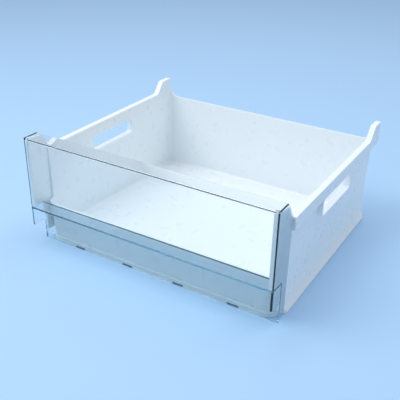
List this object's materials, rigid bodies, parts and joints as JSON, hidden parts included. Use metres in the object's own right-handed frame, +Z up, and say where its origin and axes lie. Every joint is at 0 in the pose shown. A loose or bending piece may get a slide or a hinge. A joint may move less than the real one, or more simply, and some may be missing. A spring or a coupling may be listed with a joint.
{
  "type": "freezer drawer",
  "caption": "Open-topped freezer drawer: a drafted white tub with hand holes, rear ears and side runners, closed at the front by a clear clip-on panel with a grip recess.",
  "frame": {"origin": "centre of the footprint, on the surface that the drawer stands on", "axes": "+X across the drawer, to the right of someone who looks at the clear front; +Y from the clear front to the back wall; +Z up"},
  "size_m": [0.4614, 0.42, 0.2006],
  "materials": {
    "tub_white": "satin gloss moulded polystyrene",
    "panel_clear": "clear polished moulding with a faint blue tint"
  },
  "bodies": {
    "root": {"tub": "tub_white", "front_panel": "panel_clear"}
  },
  "joints": []
}
